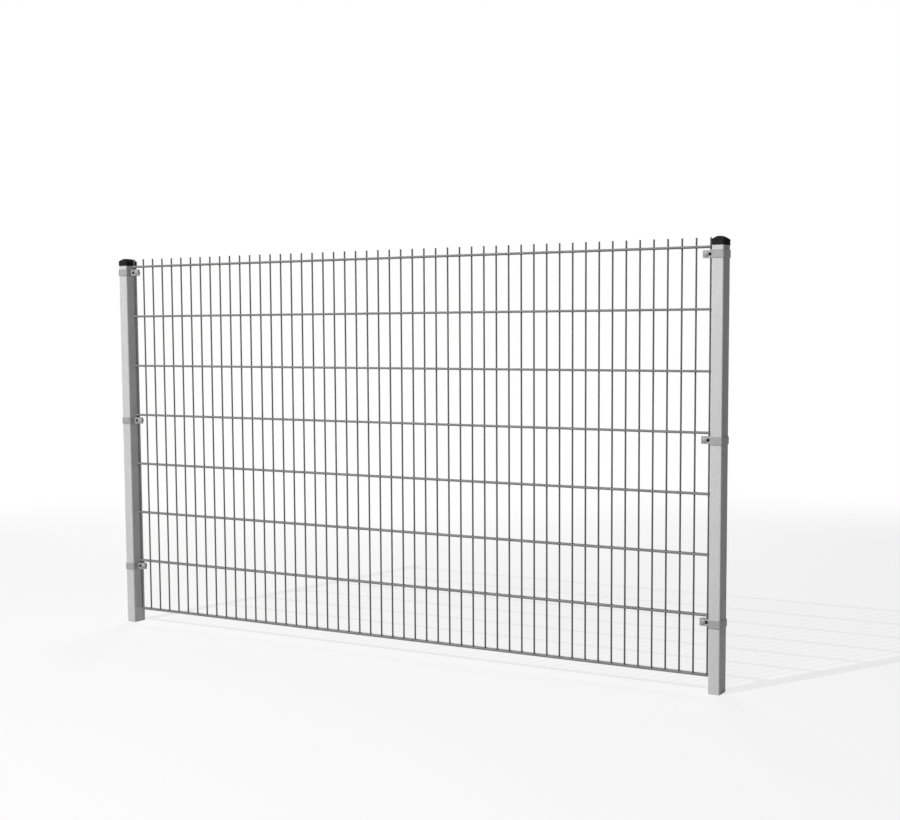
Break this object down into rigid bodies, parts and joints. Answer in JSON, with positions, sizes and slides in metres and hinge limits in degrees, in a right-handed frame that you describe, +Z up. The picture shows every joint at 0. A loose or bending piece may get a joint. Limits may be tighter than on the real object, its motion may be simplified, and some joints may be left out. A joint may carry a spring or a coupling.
{
  "type": "double wire mesh fence panel with posts",
  "caption": "Bay of double wire mesh fence: a welded panel of upright wires between paired horizontal wires, clamped to two capped tube posts with bolted straps.",
  "frame": {"origin": "on the floor, midway between the two posts and in the plane of the upright wires", "axes": "+X along the fence to the right post as seen from the front, +Y to the back, +Z up"},
  "size_m": [2.6146, 0.0656, 1.4887],
  "materials": {
    "galvanised_wire": "matt galvanised wire, welded at each crossing",
    "galvanised_tube": "satin galvanised tube with faint zinc spangle",
    "strap_steel": "galvanised strip, slightly darker than the post",
    "zinc_fastener": "bright zinc plate",
    "black_plastic": "black moulded plastic, fine grain",
    "insert_plastic": "hard black moulded plastic"
  },
  "bodies": {
    "fence_frame": {"left_end_wire": "galvanised_wire", "inner_upright_wires": "galvanised_wire", "right_end_wire": "galvanised_wire", "row_1_front_wire": "galvanised_wire", "row_1_rear_wire": "galvanised_wire", "row_2_front_wire": "galvanised_wire", "row_2_rear_wire": "galvanised_wire", "row_3_front_wire": "galvanised_wire", "row_3_rear_wire": "galvanised_wire", "row_4_front_wire": "galvanised_wire", "row_4_rear_wire": "galvanised_wire", "row_5_front_wire": "galvanised_wire", "row_5_rear_wire": "galvanised_wire", "row_6_front_wire": "galvanised_wire", "row_6_rear_wire": "galvanised_wire", "row_7_front_wire": "galvanised_wire", "row_7_rear_wire": "galvanised_wire", "row_8_front_wire": "galvanised_wire", "row_8_rear_wire": "galvanised_wire", "left_post": "galvanised_tube", "left_bottom_clamp_strap": "strap_steel", "left_bottom_wire_insert": "insert_plastic", "left_bottom_clamp_bolt": "zinc_fastener", "left_middle_clamp_strap": "strap_steel", "left_middle_wire_insert": "insert_plastic", "left_middle_clamp_bolt": "zinc_fastener", "left_top_clamp_strap": "strap_steel", "left_top_wire_insert": "insert_plastic", "left_top_clamp_bolt": "zinc_fastener", "right_post": "galvanised_tube", "right_bottom_clamp_strap": "strap_steel", "right_bottom_wire_insert": "insert_plastic", "right_bottom_clamp_bolt": "zinc_fastener", "right_middle_clamp_strap": "strap_steel", "right_middle_wire_insert": "insert_plastic", "right_middle_clamp_bolt": "zinc_fastener", "right_top_clamp_strap": "strap_steel", "right_top_wire_insert": "insert_plastic", "right_top_clamp_bolt": "zinc_fastener"},
    "left_cap_body": {"left_post_cap": "black_plastic"},
    "left_bottom_washer_body": {"left_bottom_washer": "zinc_fastener"},
    "left_bottom_nut_body": {"left_bottom_nut": "zinc_fastener"},
    "left_middle_washer_body": {"left_middle_washer": "zinc_fastener"},
    "left_middle_nut_body": {"left_middle_nut": "zinc_fastener"},
    "left_top_washer_body": {"left_top_washer": "zinc_fastener"},
    "left_top_nut_body": {"left_top_nut": "zinc_fastener"},
    "right_cap_body": {"right_post_cap": "black_plastic"},
    "right_bottom_washer_body": {"right_bottom_washer": "zinc_fastener"},
    "right_bottom_nut_body": {"right_bottom_nut": "zinc_fastener"},
    "right_middle_washer_body": {"right_middle_washer": "zinc_fastener"},
    "right_middle_nut_body": {"right_middle_nut": "zinc_fastener"},
    "right_top_washer_body": {"right_top_washer": "zinc_fastener"},
    "right_top_nut_body": {"right_top_nut": "zinc_fastener"}
  },
  "joints": [
    {"name": "left_cap_lift", "type": "slide", "parent": "fence_frame", "child": "left_cap_body", "axis": [0, 0, 1], "range_m": [0, 0.03]},
    {"name": "left_bottom_nut_turn", "type": "hinge", "parent": "left_bottom_washer_body", "child": "left_bottom_nut_body", "pos_m": [-1.2353, 0.0081, 0.2325], "axis": [0, 1, 0], "range_deg": [0, 2342]},
    {"name": "left_bottom_washer_slide", "type": "slide", "parent": "fence_frame", "child": "left_bottom_washer_body", "axis": [0, 1, 0], "range_m": [0, 0.0065]},
    {"name": "left_middle_nut_turn", "type": "hinge", "parent": "left_middle_washer_body", "child": "left_middle_nut_body", "pos_m": [-1.2353, 0.0081, 0.8325], "axis": [0, 1, 0], "range_deg": [0, 2342]},
    {"name": "left_middle_washer_slide", "type": "slide", "parent": "fence_frame", "child": "left_middle_washer_body", "axis": [0, 1, 0], "range_m": [0, 0.0065]},
    {"name": "left_top_nut_turn", "type": "hinge", "parent": "left_top_washer_body", "child": "left_top_nut_body", "pos_m": [-1.2353, 0.0081, 1.4325], "axis": [0, 1, 0], "range_deg": [0, 2342]},
    {"name": "left_top_washer_slide", "type": "slide", "parent": "fence_frame", "child": "left_top_washer_body", "axis": [0, 1, 0], "range_m": [0, 0.0065]},
    {"name": "right_cap_lift", "type": "slide", "parent": "fence_frame", "child": "right_cap_body", "axis": [0, 0, 1], "range_m": [0, 0.03]},
    {"name": "right_bottom_nut_turn", "type": "hinge", "parent": "right_bottom_washer_body", "child": "right_bottom_nut_body", "pos_m": [1.2353, 0.0081, 0.2325], "axis": [0, 1, 0], "range_deg": [0, 2342]},
    {"name": "right_bottom_washer_slide", "type": "slide", "parent": "fence_frame", "child": "right_bottom_washer_body", "axis": [0, 1, 0], "range_m": [0, 0.0065]},
    {"name": "right_middle_nut_turn", "type": "hinge", "parent": "right_middle_washer_body", "child": "right_middle_nut_body", "pos_m": [1.2353, 0.0081, 0.8325], "axis": [0, 1, 0], "range_deg": [0, 2342]},
    {"name": "right_middle_washer_slide", "type": "slide", "parent": "fence_frame", "child": "right_middle_washer_body", "axis": [0, 1, 0], "range_m": [0, 0.0065]},
    {"name": "right_top_nut_turn", "type": "hinge", "parent": "right_top_washer_body", "child": "right_top_nut_body", "pos_m": [1.2353, 0.0081, 1.4325], "axis": [0, 1, 0], "range_deg": [0, 2342]},
    {"name": "right_top_washer_slide", "type": "slide", "parent": "fence_frame", "child": "right_top_washer_body", "axis": [0, 1, 0], "range_m": [0, 0.0065]}
  ],
  "couplings": [
    {"joint": "left_bottom_nut_turn", "follows": "left_bottom_washer_slide", "rad_per_m": 6283.2},
    {"joint": "left_middle_nut_turn", "follows": "left_middle_washer_slide", "rad_per_m": 6283.2},
    {"joint": "left_top_nut_turn", "follows": "left_top_washer_slide", "rad_per_m": 6283.2},
    {"joint": "right_bottom_nut_turn", "follows": "right_bottom_washer_slide", "rad_per_m": 6283.2},
    {"joint": "right_middle_nut_turn", "follows": "right_middle_washer_slide", "rad_per_m": 6283.2},
    {"joint": "right_top_nut_turn", "follows": "right_top_washer_slide", "rad_per_m": 6283.2}
  ]
}
